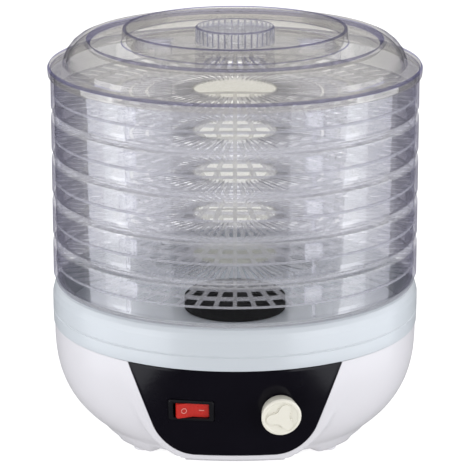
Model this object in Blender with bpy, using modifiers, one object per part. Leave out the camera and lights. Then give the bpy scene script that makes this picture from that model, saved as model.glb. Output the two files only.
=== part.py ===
"""A round food dehydrator: a heated fan base, five stacking trays and a vented lid.

Metres, +Z up. The origin is on the floor, under the middle of the base, and the front faces -Y.
"""

import math

import bmesh
import bpy
from mathutils import Euler, Matrix, Vector

GAP = 0.0003  # clearance kept between pieces that touch

# Stack
TRAY_R = 0.125
TRAY_COUNT = 5
TRAY_PITCH = 0.0291
TRAY_WALL = 0.0024
TRAY_FLOOR_UNDER = 0.0130  # from a tray's lower edge to the underside of its mesh floor
TRAY_FLOOR_THICK = 0.0020
POST_WIDTH = 0.0125
POST_DEPTH = 0.0030
POST_COUNT = 6
POST_FIRST = math.radians(-35)  # the first post, turned from the front
TRAY_SIDES = 32
LID_R = 0.127
LID_WALL = 0.0022
LID_SKIRT_Z = 0.2510
LID_RIM_Z = 0.2577
LID_CREST_Z = 0.2752
LID_FLOOR_Z = 0.2717
LID_PLATE_R = 0.0980
COLLAR_R = 0.0760
COLLAR_WALL = 0.0025
COLLAR_TOP_Z = 0.2822
VENT_KNOB_R = 0.0270
VENT_KNOB_TOP_Z = 0.2830

# Base
RING_BOTTOM_Z = 0.0783
STACK_Z = 0.1076  # lower edge of the lowest tray
HOUSING_R = 0.1253
DECK_Z = 0.0840
DECK_THICK = 0.0025
DECK_R = 0.1178
CAP_R = 0.0350
CAP_TOP_Z = 0.0955
SHELL = 0.0025
UNDERSIDE_Z = 0.0090
RIM_Z = 0.0140  # where the housing's side begins to turn in under it
MOUTH_R = 0.0720  # opening in the housing's underside, closed by the bottom cover
FOOT_R = 0.0825
FOOT_ANGLE = math.radians(50)  # from the front or the back
FOOT_PAD = 0.0020
POST_CIRCLE_R = 0.0620
DUCT_R = 0.0420
DUCT_BOTTOM_Z = 0.0500
HEATER_Z = 0.0733
COIL_RADII = (0.0300, 0.0180)
GLAND_Z = 0.0500
GLAND_TILT = math.radians(13)

# Control panel
PANEL_TOP_Z = 0.0780
PANEL_BOTTOM_Z = 0.0172
PANEL_TOP_HALF = 0.0704
PANEL_SIDE_SLOPE = 0.39  # half-width lost per unit of height
PANEL_CORNER = 0.0190
PANEL_THICK = 0.0034
APRON = 0.0048  # width of the white border round the panel
APRON_LIFT = 0.0020  # height of the border's lower edge over the rest of the rim
FRONT_BOTTOM_Y = 0.1145
CONTROL_AZIMUTH = math.radians(8)
CONTROL_TILT = math.radians(8)
SWITCH_AT = (-0.0287, 0.0494)
KNOB_AT = (0.0290, 0.0496)
BEZEL_SIZE = (0.0303, 0.0144)
SWITCH_SEAT = 0.0016
ROCKER_TILT = math.radians(11)
ROCKER_PIVOT = 0.0035
KNOB_R = 0.0132

# Motor
MOTOR_Z = 0.0240
STACK_THICK = 0.0160
ROTOR_R = 0.0125
SHAFT_R = 0.0020
FAN_Z = 0.0530
FAN_R = 0.0340
FAN_HEIGHT = 0.0100


def clear_scene():
    for obj in list(bpy.data.objects):
        bpy.data.objects.remove(obj, do_unlink=True)


def collection(name, hidden=False):
    made = bpy.data.collections.new(name)
    made.hide_render = hidden
    bpy.context.scene.collection.children.link(made)
    return made


clear_scene()
PARTS = collection("food_dehydrator")
CUTTERS = collection("cutters", hidden=True)


def material(name, colour, roughness, metallic=0.0, transmission=0.0):
    made = bpy.data.materials.new(name)
    made.use_nodes = True
    shader = made.node_tree.nodes["Principled BSDF"]
    shader.inputs["Base Color"].default_value = (*colour, 1)
    shader.inputs["Roughness"].default_value = roughness
    shader.inputs["Metallic"].default_value = metallic
    shader.inputs["Transmission Weight"].default_value = transmission
    made.diffuse_color = (*colour, 1)
    return made


CLEAR = material("clear_plastic", (0.90, 0.90, 0.94), 0.08, transmission=0.9)
WHITE = material("white_plastic", (0.83, 0.82, 0.86), 0.30)
PALE = material("pale_blue_plastic", (0.62, 0.66, 0.70), 0.30)
BLACK = material("black_plastic", (0.012, 0.011, 0.016), 0.18)
RED = material("red_plastic", (0.62, 0.03, 0.02), 0.30)
IVORY = material("ivory_plastic", (0.68, 0.66, 0.58), 0.38)
STEEL = material("steel", (0.60, 0.60, 0.62), 0.32, metallic=1.0)
COPPER = material("copper", (0.72, 0.38, 0.22), 0.35, metallic=1.0)
BRASS = material("brass", (0.75, 0.58, 0.28), 0.30, metallic=1.0)
RUBBER = material("rubber", (0.05, 0.05, 0.055), 0.75)
MICA = material("mica", (0.55, 0.47, 0.36), 0.55)
NYLON = material("nylon", (0.80, 0.79, 0.74), 0.45)
LEAD = material("lead_sleeve", (0.75, 0.74, 0.70), 0.50)


def link(obj, look=None, group=None):
    (group or PARTS).objects.link(obj)
    if look:
        obj.data.materials.clear()
        obj.data.materials.append(look)
    return obj


def as_cutter(obj):
    for owner in list(obj.users_collection):
        owner.objects.unlink(obj)
    CUTTERS.objects.link(obj)
    obj.hide_render = True
    obj.display_type = "WIRE"
    return obj


def from_bmesh(name, bm, look=None, smooth=False):
    mesh = bpy.data.meshes.new(name)
    bm.to_mesh(mesh)
    bm.free()
    if smooth:
        mesh.shade_smooth()
        mesh.set_sharp_from_angle(angle=math.radians(35))
    return link(bpy.data.objects.new(name, mesh), look)


def bake(obj):
    """Replaces the object's mesh with the one its modifiers make."""
    graph = bpy.context.evaluated_depsgraph_get()
    mesh = bpy.data.meshes.new_from_object(obj.evaluated_get(graph))
    obj.modifiers.clear()
    obj.data = mesh
    return obj


def box(name, size, centre, look=None, turn=None):
    bm = bmesh.new()
    bmesh.ops.create_cube(bm, size=1)
    bmesh.ops.scale(bm, vec=Vector(size), verts=bm.verts)
    obj = from_bmesh(name, bm, look)
    obj.matrix_world = Matrix.Translation(centre) @ (turn or Matrix.Identity(4))
    return obj


def cylinder(name, radius, low, high, look=None, at=(0, 0), sides=24, frame=None):
    """A cylinder along its own Z from low to high, at a place in the frame's XY plane."""
    bm = bmesh.new()
    bmesh.ops.create_cone(
        bm, cap_ends=True, segments=sides, radius1=radius, radius2=radius, depth=high - low
    )
    obj = from_bmesh(name, bm, look, smooth=True)
    place = Matrix.Translation((at[0], at[1], (low + high) / 2))
    obj.matrix_world = (frame or Matrix.Identity(4)) @ place
    return obj


def turned(name, profile, look=None, steps=40, closed=True, frame=None):
    """Turns (radius, height) points about Z. The outer side runs from top to bottom."""
    mesh = bpy.data.meshes.new(name)
    points = [(r, 0, z) for r, z in profile]
    edges = [(i, i + 1) for i in range(len(points) - 1)]
    if closed:
        edges.append((len(points) - 1, 0))
    mesh.from_pydata(points, edges, [])
    obj = link(bpy.data.objects.new(name, mesh))
    screw = obj.modifiers.new("turn", "SCREW")
    screw.steps = screw.render_steps = steps
    screw.use_merge_vertices = True
    screw.merge_threshold = 0.00002
    screw.use_smooth_shade = True
    bake(obj)
    obj.data.set_sharp_from_angle(angle=math.radians(35))
    if look:
        obj.data.materials.append(look)
    obj.matrix_world = frame or Matrix.Identity(4)
    return obj


def ring_profile(inner, outer, low, high):
    """The profile of a plain ring, round from its top inner corner."""
    return [(inner, high), (outer, high), (outer, low), (inner, low)]


def tube(name, points, radius, look, frame=None):
    curve = bpy.data.curves.new(name, "CURVE")
    curve.dimensions = "3D"
    curve.bevel_depth = radius
    curve.bevel_resolution = 2
    curve.use_fill_caps = True
    spline = curve.splines.new("POLY")
    spline.points.add(len(points) - 1)
    for spot, point in zip(spline.points, points):
        spot.co = (*point, 1)
    obj = link(bpy.data.objects.new(name, curve), look)
    obj.matrix_world = frame or Matrix.Identity(4)
    return obj


def plate(name, outlines, low, high, look=None, frame=None):
    """A flat plate between two heights, from an outer outline and the outlines of its holes."""
    curve = bpy.data.curves.new(name, "CURVE")
    curve.dimensions = "2D"
    curve.fill_mode = "BOTH"
    curve.extrude = (high - low) / 2
    for outline in outlines:
        spline = curve.splines.new("POLY")
        spline.points.add(len(outline) - 1)
        for spot, (x, y) in zip(spline.points, outline):
            spot.co = (x, y, 0, 1)
        spline.use_cyclic_u = True
    flat = link(bpy.data.objects.new(name + "_outline", curve))
    graph = bpy.context.evaluated_depsgraph_get()
    mesh = bpy.data.meshes.new_from_object(flat.evaluated_get(graph))
    mesh.name = name
    bpy.data.objects.remove(flat)
    bm = bmesh.new()
    bm.from_mesh(mesh)
    bmesh.ops.remove_doubles(bm, verts=bm.verts, dist=0.000005)
    bmesh.ops.translate(bm, vec=(0, 0, (low + high) / 2), verts=bm.verts)
    bm.to_mesh(mesh)
    bm.free()
    obj = link(bpy.data.objects.new(name, mesh), look)
    obj.matrix_world = frame or Matrix.Identity(4)
    return obj


def circle(radius, count, at=(0, 0), start=0.0):
    turns = [start + 2 * math.pi * i / count for i in range(count)]
    return [(at[0] + radius * math.cos(a), at[1] + radius * math.sin(a)) for a in turns]


def wedge(inner, outer, middle, half, steps=3):
    """The outline of a hole between two radii, wide by half an angle each side of the middle."""
    turns = [middle - half + 2 * half * i / steps for i in range(steps + 1)]
    far = [(outer * math.cos(a), outer * math.sin(a)) for a in turns]
    near = [(inner * math.cos(a), inner * math.sin(a)) for a in reversed(turns)]
    return far + near


def wedges(inner, outer, count, rib, steps=3):
    """A ring of such holes, with ribs of one width between them."""
    half = math.pi / count - rib / (inner + outer)
    return [wedge(inner, outer, 2 * math.pi * i / count, half, steps) for i in range(count)]


def combine(obj, other, operation):
    step = obj.modifiers.new(operation.lower(), "BOOLEAN")
    step.operation = operation
    step.solver = "EXACT"
    step.object = other
    bpy.context.view_layer.update()
    bake(obj)
    if operation == "UNION":
        bpy.data.objects.remove(other)
    else:
        as_cutter(other)
    return obj


def cut(obj, *cutters):
    for cutter in cutters:
        combine(obj, cutter, "DIFFERENCE")
    return obj


def join(obj, *others):
    for other in others:
        combine(obj, other, "UNION")
    return obj


def grid_surface(name, rows, closed=False, look=None):
    """An open surface through rows of points; closed joins each row's ends."""
    bm = bmesh.new()
    lines = [[bm.verts.new(point) for point in row] for row in rows]
    for upper, lower in zip(lines, lines[1:]):
        count = len(upper)
        for i in range(count if closed else count - 1):
            j = (i + 1) % count
            bm.faces.new((upper[i], lower[i], lower[j], upper[j]))
    return from_bmesh(name, bm, look, smooth=True)


def thicken(obj, thickness, offset=-1.0):
    """Gives an open surface a wall, behind it for an offset of -1."""
    wall = obj.modifiers.new("wall", "SOLIDIFY")
    wall.thickness = thickness
    wall.offset = offset
    return bake(obj)


def blend(low, high, value):
    t = min(max((value - low) / (high - low), 0.0), 1.0)
    return t * t * (3 - 2 * t)


# ---- housing shape -------------------------------------------------------------------------


def body_radius(z):
    """Radius of the round body at a height: a side that curves in to a narrow base."""
    low_r = 0.0755
    reach = 0.0754
    drop = min(max((RING_BOTTOM_Z - z) / reach, 0.0), 1.0)
    return low_r + (HOUSING_R - 0.0007 - low_r) * (1 - drop**2.72) ** (1 / 1.44)


def front_y(x, z):
    """Distance of the gently crowned front from the axis plane, at a place on the panel."""
    drop = RING_BOTTOM_Z - z
    centre = HOUSING_R - 0.0007
    centre -= drop * (centre - FRONT_BOTTOM_Y) / (RING_BOTTOM_Z - 0.012)
    crown = HOUSING_R + 0.9 * max(drop, 0.0)
    return centre - crown + math.sqrt(max(crown**2 - x**2, 0.0))


def panel_half_width(z, border=0.0):
    """Half the panel's width at a height, with round lower corners; a border widens it."""
    half = PANEL_TOP_HALF + border - (PANEL_TOP_Z - z) * PANEL_SIDE_SLOPE
    corner = PANEL_CORNER + border
    up = z - PANEL_BOTTOM_Z + border
    if up < corner:
        t = 1 - max(up, 0.0) / corner
        half -= corner * (1 - math.sqrt(1 - t * t))
    return half


def foot_share(angle):
    """1 over a foot and 0 away from it; the angle is turned from the front."""
    off = min(abs(abs(angle) - FOOT_ANGLE), abs(abs(angle) - math.pi + FOOT_ANGLE))
    return 1 - blend(math.radians(8), math.radians(20), off)


def housing_radius(angle, z):
    """Radius of the lower housing: the round body, brought forward round the panel."""
    round_r = body_radius(z)
    if abs(angle) > math.radians(48):
        return round_r
    reach = round_r
    for _ in range(6):
        reach = front_y(reach * math.sin(angle), z) / math.cos(angle)
    edge = panel_half_width(max(z, PANEL_BOTTOM_Z - 0.8 * APRON), APRON)
    share = 1 - blend(edge, edge + 0.010, abs(reach * math.sin(angle)))
    return round_r + (reach - round_r) * share


def housing_rows():
    """The housing's outside, from its top edge down and in under to the mouth."""
    front = [math.radians(t) for t in range(-70, 71, 5)]
    back = [math.radians(t) for t in range(80, 281, 10)]
    turns = front + [a if a <= math.pi else a - 2 * math.pi for a in back]
    heights = (RING_BOTTOM_Z, 0.064, 0.051, 0.039, 0.029, 0.020, RIM_Z)
    rows = [[(housing_radius(a, z), a, z) for a in turns] for z in heights]
    corner = []
    for a in turns:
        lift = APRON_LIFT * (1 - blend(math.radians(14), math.radians(30), abs(a)))
        corner.append((housing_radius(a, RIM_Z - 0.0015) - 0.0016, a, UNDERSIDE_Z + 0.0013 + lift))
    rows.append(corner)
    step = UNDERSIDE_Z - FOOT_PAD - GAP
    for radius, share in ((0.0915, 0.5), (0.0885, 1.0), (0.0765, 1.0), (MOUTH_R, 0.0)):
        rows.append([(radius, a, UNDERSIDE_Z - share * step * foot_share(a)) for a in turns])
    return [[(r * math.sin(a), -r * math.cos(a), z) for r, a, z in row] for row in rows]


def lower_housing():
    shell = grid_surface("lower_housing", housing_rows(), closed=True, look=WHITE)
    thicken(shell, SHELL)
    cut(shell, panel_window(), gland_hole("housing_gland_hole"))
    return shell


# ---- control panel -------------------------------------------------------------------------


def panel_rows(grow, columns=8):
    """The panel's face, grown sideways."""
    bottom, top = PANEL_BOTTOM_Z - grow, PANEL_TOP_Z + (0.002 if grow else 0.0)
    corner = [bottom + PANEL_CORNER * (1 - math.cos(math.radians(t))) for t in (0, 30, 60, 90)]
    side = [corner[-1] + (top - corner[-1]) * i / 3 for i in range(1, 4)]
    rows = []
    for z in reversed(corner + side):
        half = panel_half_width(max(z + grow / 2, PANEL_BOTTOM_Z)) + grow
        xs = [half * (2 * i / columns - 1) for i in range(columns + 1)]
        rows.append([(x, -front_y(x, z), z) for x in xs])
    return rows


def panel_window():
    """The cutter for the panel's window, reaching as far before the face as behind it."""
    face = grid_surface("panel_window", panel_rows(GAP))
    return thicken(face, 4 * PANEL_THICK, offset=0.0)


def control_frame(spot, depth=0.0):
    """Axes of a control on the panel: X right, Y into the panel and Z up."""
    x, z = spot
    turn = Euler((CONTROL_TILT, 0, math.copysign(CONTROL_AZIMUTH, x)), "XYZ").to_matrix()
    centre = Matrix.Translation((x, -front_y(x, z), z)) @ turn.to_4x4()
    return centre @ Matrix.Translation((0, depth, 0))


def outward(frame):
    """The same frame with its Z along the control's axis, pointing out of the panel."""
    return frame @ Matrix.Rotation(math.radians(90), 4, "X")


def control_box(name, width, height, near, far, frame, look=None):
    """A box on a control: near and far are depths behind the frame's origin."""
    centre = frame @ Matrix.Translation((0, (near + far) / 2, 0))
    turn = centre.to_quaternion().to_matrix().to_4x4()
    return box(name, (width, far - near, height), centre.translation, look, turn)


def control_panel():
    """A black moulding that fills the housing's window, with a flat seat for the switch."""
    panel = grid_surface("control_panel", panel_rows(0.0), look=BLACK)
    thicken(panel, PANEL_THICK)
    switch = control_frame(SWITCH_AT, SWITCH_SEAT)
    width, height = BEZEL_SIZE
    seat = control_box("switch_seat", width + 2 * GAP, height + 2 * GAP, -0.012, 0, switch)
    window = control_box("switch_window", 0.0276, 0.0130, -0.012, 0.012, switch)
    bush = cylinder("bush_hole", 0.0046, -0.012, 0.012, frame=outward(control_frame(KNOB_AT)))
    return cut(panel, seat, window, bush)


def switch():
    """The power switch: a bezel, its body with the terminals, and the red rocker."""
    frame = control_frame(SWITCH_AT, SWITCH_SEAT)
    width, height = BEZEL_SIZE
    bezel = control_box("switch_bezel", width, height, -0.0026, -GAP, frame, BLACK)
    window = control_box("bezel_window", 0.0240, 0.0108, -0.006, 0.006, frame)
    cut(bezel, window)
    body = control_box("switch_body", 0.0270, 0.0124, 0, 0.0180, frame, BLACK)
    hollow = control_box("switch_hollow", 0.0246, 0.0109, -0.004, 0.0100, frame)
    cut(body, hollow)
    for side in (-1, 1):
        blade_frame = frame @ Matrix.Translation((side * 0.0075, 0, 0))
        join(body, control_box("blade", 0.0048, 0.0010, 0.0170, 0.0255, blade_frame))
    rocker(frame)


def rocker(frame):
    """A shallow V in plan, pressed in at its right end; its origin is its pivot."""
    outline = [(-0.0106, 0.0026), (0, 0.0006), (0.0106, 0.0026), (0.0112, 0)]
    outline += [(0.0095, -0.0045), (-0.0095, -0.0045), (-0.0112, 0)]
    half = 0.0051
    outline = [(x, y + ROCKER_PIVOT) for x, y in outline]
    pivot = frame @ Matrix.Translation((0, ROCKER_PIVOT, 0))
    facing = Matrix.Rotation(math.pi, 4, "X")
    tipped = pivot @ facing @ Matrix.Rotation(-ROCKER_TILT, 4, "Z")
    plate("rocker", [outline], -half, half, RED, tipped)


def thermostat():
    """The dial thermostat: body and bush, its nut, its shaft and the knob on it."""
    frame = outward(control_frame(KNOB_AT))
    body = [(0, -0.0050), (0.0030, -0.0050), (0.0030, 0.0030), (0.0042, 0.0030)]
    body += [(0.0042, -0.0058), (0.0110, -0.0058), (0.0110, -0.0190), (0, -0.0190)]
    turned("thermostat_body", body, MICA, steps=20, closed=False, frame=frame)
    nut = [circle(0.0064, 6), circle(0.0046, 16)]
    plate("thermostat_nut", nut, 0.0012, 0.0029, STEEL, frame)
    cylinder("thermostat_shaft", 0.0026, -0.0044, 0.0090, BRASS, sides=14, frame=frame)
    base, roof, face = 0.0014, 0.0076, 0.0117
    knob = [(0, face), (KNOB_R - 0.0042, face), (KNOB_R - 0.0034, face - 0.0006)]
    knob += [(KNOB_R - 0.0008, face - 0.0006), (KNOB_R, face - 0.0016)]
    knob += [(KNOB_R - 0.0014, base), (KNOB_R - 0.0030, base), (KNOB_R - 0.0030, roof)]
    knob += [(0.0052, roof), (0.0052, 0.0034), (0.0029, 0.0034), (0.0029, 0.0095), (0, 0.0095)]
    turned("temperature_knob", knob, IVORY, steps=24, closed=False, frame=frame)


# ---- upper housing -------------------------------------------------------------------------


def base_ring():
    """The pale ring under the stack, with a ledge inside it for the deck."""
    low, top = RING_BOTTOM_Z + GAP, STACK_Z - GAP
    under = DECK_Z - DECK_THICK
    ledge = under - GAP
    profile = [(0.1190, top), (0.1214, top), (0.1238, top - 0.0030), (0.1256, 0.0990)]
    profile += [(0.1256, 0.0890), (0.1246, 0.0882), (0.1255, 0.0874), (HOUSING_R, low)]
    profile += [(0.1228, low), (0.1228, under), (0.1199, under), (0.1199, 0.0745)]
    profile += [(0.1182, 0.0745), (0.1182, ledge - 0.0026), (DECK_R - 0.0024, ledge)]
    profile += [(0.1182, ledge), (0.1182, DECK_Z + 0.0030)]
    turned("base_ring", profile, PALE, steps=36)


def deck():
    """The air deck inside the ring, with the four screw posts under it."""
    under = DECK_Z - DECK_THICK
    outlines = [circle(DECK_R, 36), circle(CAP_R - 0.0025, 28)]
    panel = plate("deck", outlines, under, DECK_Z, PALE)
    for x, y in screw_spots():
        post = cylinder("post", 0.0042, 0.0143, under + 0.0005, at=(x, y), sides=12)
        hole = cylinder("pilot", 0.0020, 0.0100, 0.0300, at=(x, y), sides=10)
        join(panel, post)
        cut(panel, hole)


def screw_spots():
    return circle(POST_CIRCLE_R, 4, start=math.radians(45))


def outlet_cap():
    """The black cap over the fan: slots in its top let the warm air up into the stack."""
    low = DECK_Z + GAP
    profile = [(CAP_R - 0.0020, CAP_TOP_Z), (CAP_R, CAP_TOP_Z - 0.0020), (CAP_R, low)]
    profile += [(CAP_R - 0.0020, low), (CAP_R - 0.0020, CAP_TOP_Z - 0.0026)]
    cap = turned("outlet_cap", [(0, CAP_TOP_Z), *profile, (0, CAP_TOP_Z - 0.0026)], BLACK,
                 steps=28, closed=False)
    slots = plate("cap_slots", wedges(0.0090, 0.0290, 8, 0.0030, steps=1),
                  CAP_TOP_Z - 0.006, CAP_TOP_Z + 0.003)
    return cut(cap, slots)


# ---- heater --------------------------------------------------------------------------------


def heater():
    """A steel duct under the deck with a coil wound round a mica cross, and its fuse."""
    outer, lip, top = DUCT_R + 0.0006, DUCT_R - 0.0060, 0.0810
    duct = [(outer, top), (outer, DUCT_BOTTOM_Z), (DUCT_R, DUCT_BOTTOM_Z)]
    duct += [(DUCT_R, top - 0.0010), (lip, top - 0.0010), (lip, top)]
    turned("heater_duct", duct, STEEL, steps=24)
    mica_board("mica_board_1", 0.0, 0.5)
    mica_board("mica_board_2", math.pi / 2, -0.5)
    coil("heater_coil", HEATER_Z)
    frame = Matrix.Translation((DUCT_R + 0.0035, 0, 0.0700)) @ Matrix.Rotation(math.pi / 2, 4, "X")
    cylinder("thermal_fuse", 0.0020, -0.0060, 0.0060, STEEL, sides=10, frame=frame)


def mica_board(name, along, notch_side):
    """One upright board of the cross, halved at the middle and pierced for the coil."""
    height, reach = 0.0106, DUCT_R - 0.0016
    turn = Matrix.Rotation(along, 4, "Z")
    board = box(name, (2 * reach, 0.0008, height), (0, 0, HEATER_Z), MICA, turn)
    notch = box("notch_" + name, (0.0018, 0.0018, height / 2 + 0.0020),
                (0, 0, HEATER_Z + notch_side * (height / 2 + 0.0020 - 2 * GAP)))
    cut(board, notch)
    for side in (-1, 1):
        for radius in COIL_RADII:
            across = Matrix.Translation((side * radius, 0, HEATER_Z))
            frame = turn @ across @ Matrix.Rotation(math.pi / 2, 4, "X")
            cut(board, cylinder("coil_slot", 0.0029, -0.0020, 0.0020, sides=8, frame=frame))


def coil(name, z):
    """One resistance wire helix laid in two rings, joined by a short crossing."""
    wire, helix = 0.0005, 0.0018
    points = []
    for radius, count, start, sweep in zip(COIL_RADII, (9, 5), (8, 352), (344, -344)):
        steps = count * 5
        for i in range(steps + 1):
            along = math.radians(start + sweep * i / steps)
            phase = 2 * math.pi * count * i / steps
            r = radius + helix * math.cos(phase)
            points.append((r * math.cos(along), r * math.sin(along), z + helix * math.sin(phase)))
    return tube(name, points, wire, STEEL)


# ---- motor and fan -------------------------------------------------------------------------


def motor():
    """A shaded-pole motor hung under the duct, turning the fan on its upright shaft."""
    core_low, core_high = MOTOR_Z, MOTOR_Z + STACK_THICK
    width, depth = 0.0240, 0.0225
    outline = [(-width, -depth), (width, -depth), (width, depth + 0.014), (-width, depth + 0.014)]
    window = [(-0.0140, 0.0175), (0.0140, 0.0175), (0.0140, 0.0265), (-0.0140, 0.0265)]
    holes = [circle(0.0022, 10, at=(side * 0.0195, -0.0170)) for side in (-1, 1)]
    plate("motor_stator", [outline, circle(ROTOR_R + 0.0005, 28), window, *holes],
          core_low, core_high, STEEL)
    winding(core_low, core_high)
    cylinder("motor_rotor", ROTOR_R, core_low + 0.0005, core_high - 0.0005, STEEL, sides=28)
    cut(bpy.data.objects["motor_rotor"],
        cylinder("rotor_bore", SHAFT_R + GAP, 0, 0.1, sides=12))
    cylinder("motor_shaft", SHAFT_R, 0.0165, 0.0640, STEEL, sides=12)
    for name, low, bearing in (
        ("motor_bracket_lower", core_low - 0.0055, "bearing_lower"),
        ("motor_bracket_upper", core_high + 0.0040, "bearing_upper"),
    ):
        arm = [(-0.0245, -0.0215), (0.0245, -0.0215), (0.0245, -0.0125), (0.0090, 0.0085),
               (-0.0090, 0.0085), (-0.0245, -0.0125)]
        holes = [circle(0.0019, 10, at=(side * 0.0195, -0.0170)) for side in (-1, 1)]
        plate(name, [arm, circle(0.0048, 16), *holes], low, low + 0.0015, STEEL)
        turned(bearing, ring_profile(SHAFT_R + GAP, 0.0044, low - 0.0015, low + 0.0030), BRASS,
               steps=16)
    hanger()
    for side in (-1, 1):
        machine_screw(f"motor_screw_{1 if side < 0 else 2}", 0.0016, 0.0032, 0.0020,
                      0.0160, 0.0470, (side * 0.0195, -0.0170))


def winding(low, high):
    """The copper winding round the bridge of the core, behind the rotor."""
    middle = 0.0315
    coil_body = box("motor_winding", (0.0210, 0.0185, high - low + 0.0140),
                    (0, middle, (low + high) / 2), COPPER)
    hollow = box("winding_core", (0.03, 0.0106, high - low + 2 * GAP), (0, middle, (low + high) / 2))
    cut(coil_body, hollow)


def hanger():
    """The strap that carries the motor across the bottom of the duct."""
    low, reach = 0.0474, DUCT_R + 0.0100
    front, back = -0.0215, 0.0085
    outline = [(-reach, front), (reach, front), (reach, back), (-reach, back)]
    holes = [circle(0.0019, 10, at=(side * 0.0195, -0.0170)) for side in (-1, 1)]
    plate("motor_hanger", [outline, circle(0.0060, 16), *holes], low, low + 0.0012, STEEL)


def fan():
    """Five pitched blades on a hub."""
    root, tilt = 0.0070, Matrix.Rotation(math.radians(28), 4, "X")
    hub = cylinder("fan", 0.0090, FAN_Z, FAN_Z + FAN_HEIGHT, NYLON, sides=20)
    reach = Matrix.Translation(((FAN_R + root) / 2, 0, FAN_Z + FAN_HEIGHT / 2))
    for i in range(5):
        place = Matrix.Rotation(2 * math.pi * i / 5, 4, "Z") @ reach @ tilt
        blade = box("blade", (FAN_R - root, 0.0160, 0.0012), place.translation, None,
                    place.to_quaternion().to_matrix().to_4x4())
        join(hub, blade)
    bore = cylinder("fan_bore", SHAFT_R + GAP, 0, 0.1, sides=12)
    return cut(hub, bore)


def machine_screw(name, shank, head, head_thick, low, high, at):
    """A screw driven upwards, with its head at the bottom and a slot across it."""
    profile = [(0, high), (shank, high), (shank, low + head_thick), (head, low + head_thick)]
    profile += [(head, low), (0, low)]
    screw = turned(name, profile, STEEL, steps=12, closed=False)
    cut(screw, box(name + "_slot", (2.2 * head, 0.0008, 0.0016), (0, 0, low)))
    screw.location = (at[0], at[1], 0)
    return screw


# ---- base bottom ---------------------------------------------------------------------------


def bottom_cover():
    low, high = 0.0118, 0.0140
    slots = wedges(0.0180, 0.0480, 12, 0.0050, steps=1)
    holes = [circle(0.0019, 10, at=spot) for spot in screw_spots()]
    plate("bottom_cover", [circle(0.0800, 36), *slots, *holes], low, high, WHITE)
    for i, spot in enumerate(screw_spots()):
        machine_screw(f"cover_screw_{i + 1}", 0.0016, 0.0034, 0.0020, 0.0095, 0.0270, spot)


def feet():
    quadrants = (-FOOT_ANGLE, FOOT_ANGLE, math.pi - FOOT_ANGLE, math.pi + FOOT_ANGLE)
    for i, angle in enumerate(quadrants):
        at = (FOOT_R * math.sin(angle), -FOOT_R * math.cos(angle), 0)
        profile = [(0, FOOT_PAD), (0.0054, FOOT_PAD), (0.0058, 0.0008), (0.0052, 0), (0, 0)]
        pad = turned(f"foot_{i + 1}", profile, RUBBER, steps=18, closed=False)
        pad.location = at


def gland_frame():
    place = Matrix.Translation((0, body_radius(GLAND_Z), GLAND_Z))
    return place @ Matrix.Rotation(-math.pi / 2 - GLAND_TILT, 4, "X")


def gland_hole(name):
    return cylinder(name, 0.0060, -0.010, 0.010, sides=20, frame=gland_frame())


def cord_gland():
    """The strain-relief bush where a supply cord would enter, gripping the housing wall."""
    profile = [(0.0034, 0.0060), (0.0062, 0.0060), (0.0080, 0.0030), (0.0080, 0.0008)]
    profile += [(0.0057, 0.0008), (0.0057, -0.0044), (0.0074, -0.0044), (0.0074, -0.0064)]
    profile += [(0.0034, -0.0064)]
    turned("cord_gland", profile, RUBBER, steps=20, frame=gland_frame())
    block = box("terminal_block", (0.0260, 0.0140, 0.0120), (0, 0.0860, 0.0240), NYLON)
    for side in (-1, 0, 1):
        well = cylinder("screw_well", 0.0022, 0.0230, 0.0400, at=(side * 0.0080, 0.0860), sides=10)
        cut(block, well)


def arc_route(start, end, radius, z, steps=8):
    """A lead's way round the inside of the housing between two angles from the front."""
    turns = [start + (end - start) * i / steps for i in range(steps + 1)]
    return [(radius * math.sin(a), -radius * math.cos(a), z) for a in turns]


def leads():
    """Sleeved leads from the terminal block to the switch, thermostat and motor."""
    behind_switch = control_frame(SWITCH_AT, SWITCH_SEAT)
    behind_knob = control_frame(KNOB_AT)
    radius = 0.0012

    def spot(frame, x, y, z):
        return tuple((frame @ Matrix.Translation((x, y, z))).translation)

    left = arc_route(math.radians(-150), math.radians(-50), 0.0930, 0.0400)
    tube("lead_supply", [(-0.0150, 0.0860, 0.0240), (-0.0250, 0.0870, 0.0280), *left,
                         spot(behind_switch, -0.0120, 0.0310, 0.0),
                         spot(behind_switch, -0.0075, 0.0262, 0.0)], radius, LEAD)
    tube("lead_switched", [spot(behind_switch, 0.0075, 0.0262, 0.0),
                           spot(behind_switch, 0.0090, 0.0330, 0.0),
                           spot(behind_knob, -0.0180, 0.0320, 0.0),
                           spot(behind_knob, -0.0060, 0.0290, 0.0),
                           spot(behind_knob, -0.0040, 0.0198, 0.0)], radius, LEAD)
    right = arc_route(math.radians(40), math.radians(88), 0.0800, 0.0560, steps=5)
    tube("lead_heater", [spot(behind_knob, 0.0050, 0.0198, 0.0),
                         spot(behind_knob, 0.0080, 0.0290, 0.0040), *right,
                         (0.0600, 0.0, 0.0680), (0.0480, -0.0090, 0.0700),
                         (0.0455, -0.0074, 0.0700)], radius, LEAD)
    tube("lead_neutral", [(0.0080, 0.0788, 0.0240), (0.0080, 0.0680, 0.0240),
                          (0.0060, 0.0560, 0.0290), (0.0040, 0.0425, 0.0330)], radius, LEAD)
    tube("lead_entry", [(0, 0.1152, 0.0516), (0, 0.1090, 0.0510), (0, 0.1045, 0.0450),
                        (0, 0.1030, 0.0360), (0, 0.1020, 0.0290), (0, 0.0980, 0.0240),
                        (0, 0.0936, 0.0240)], 0.0028, RUBBER)


# ---- stack ---------------------------------------------------------------------------------


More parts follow.
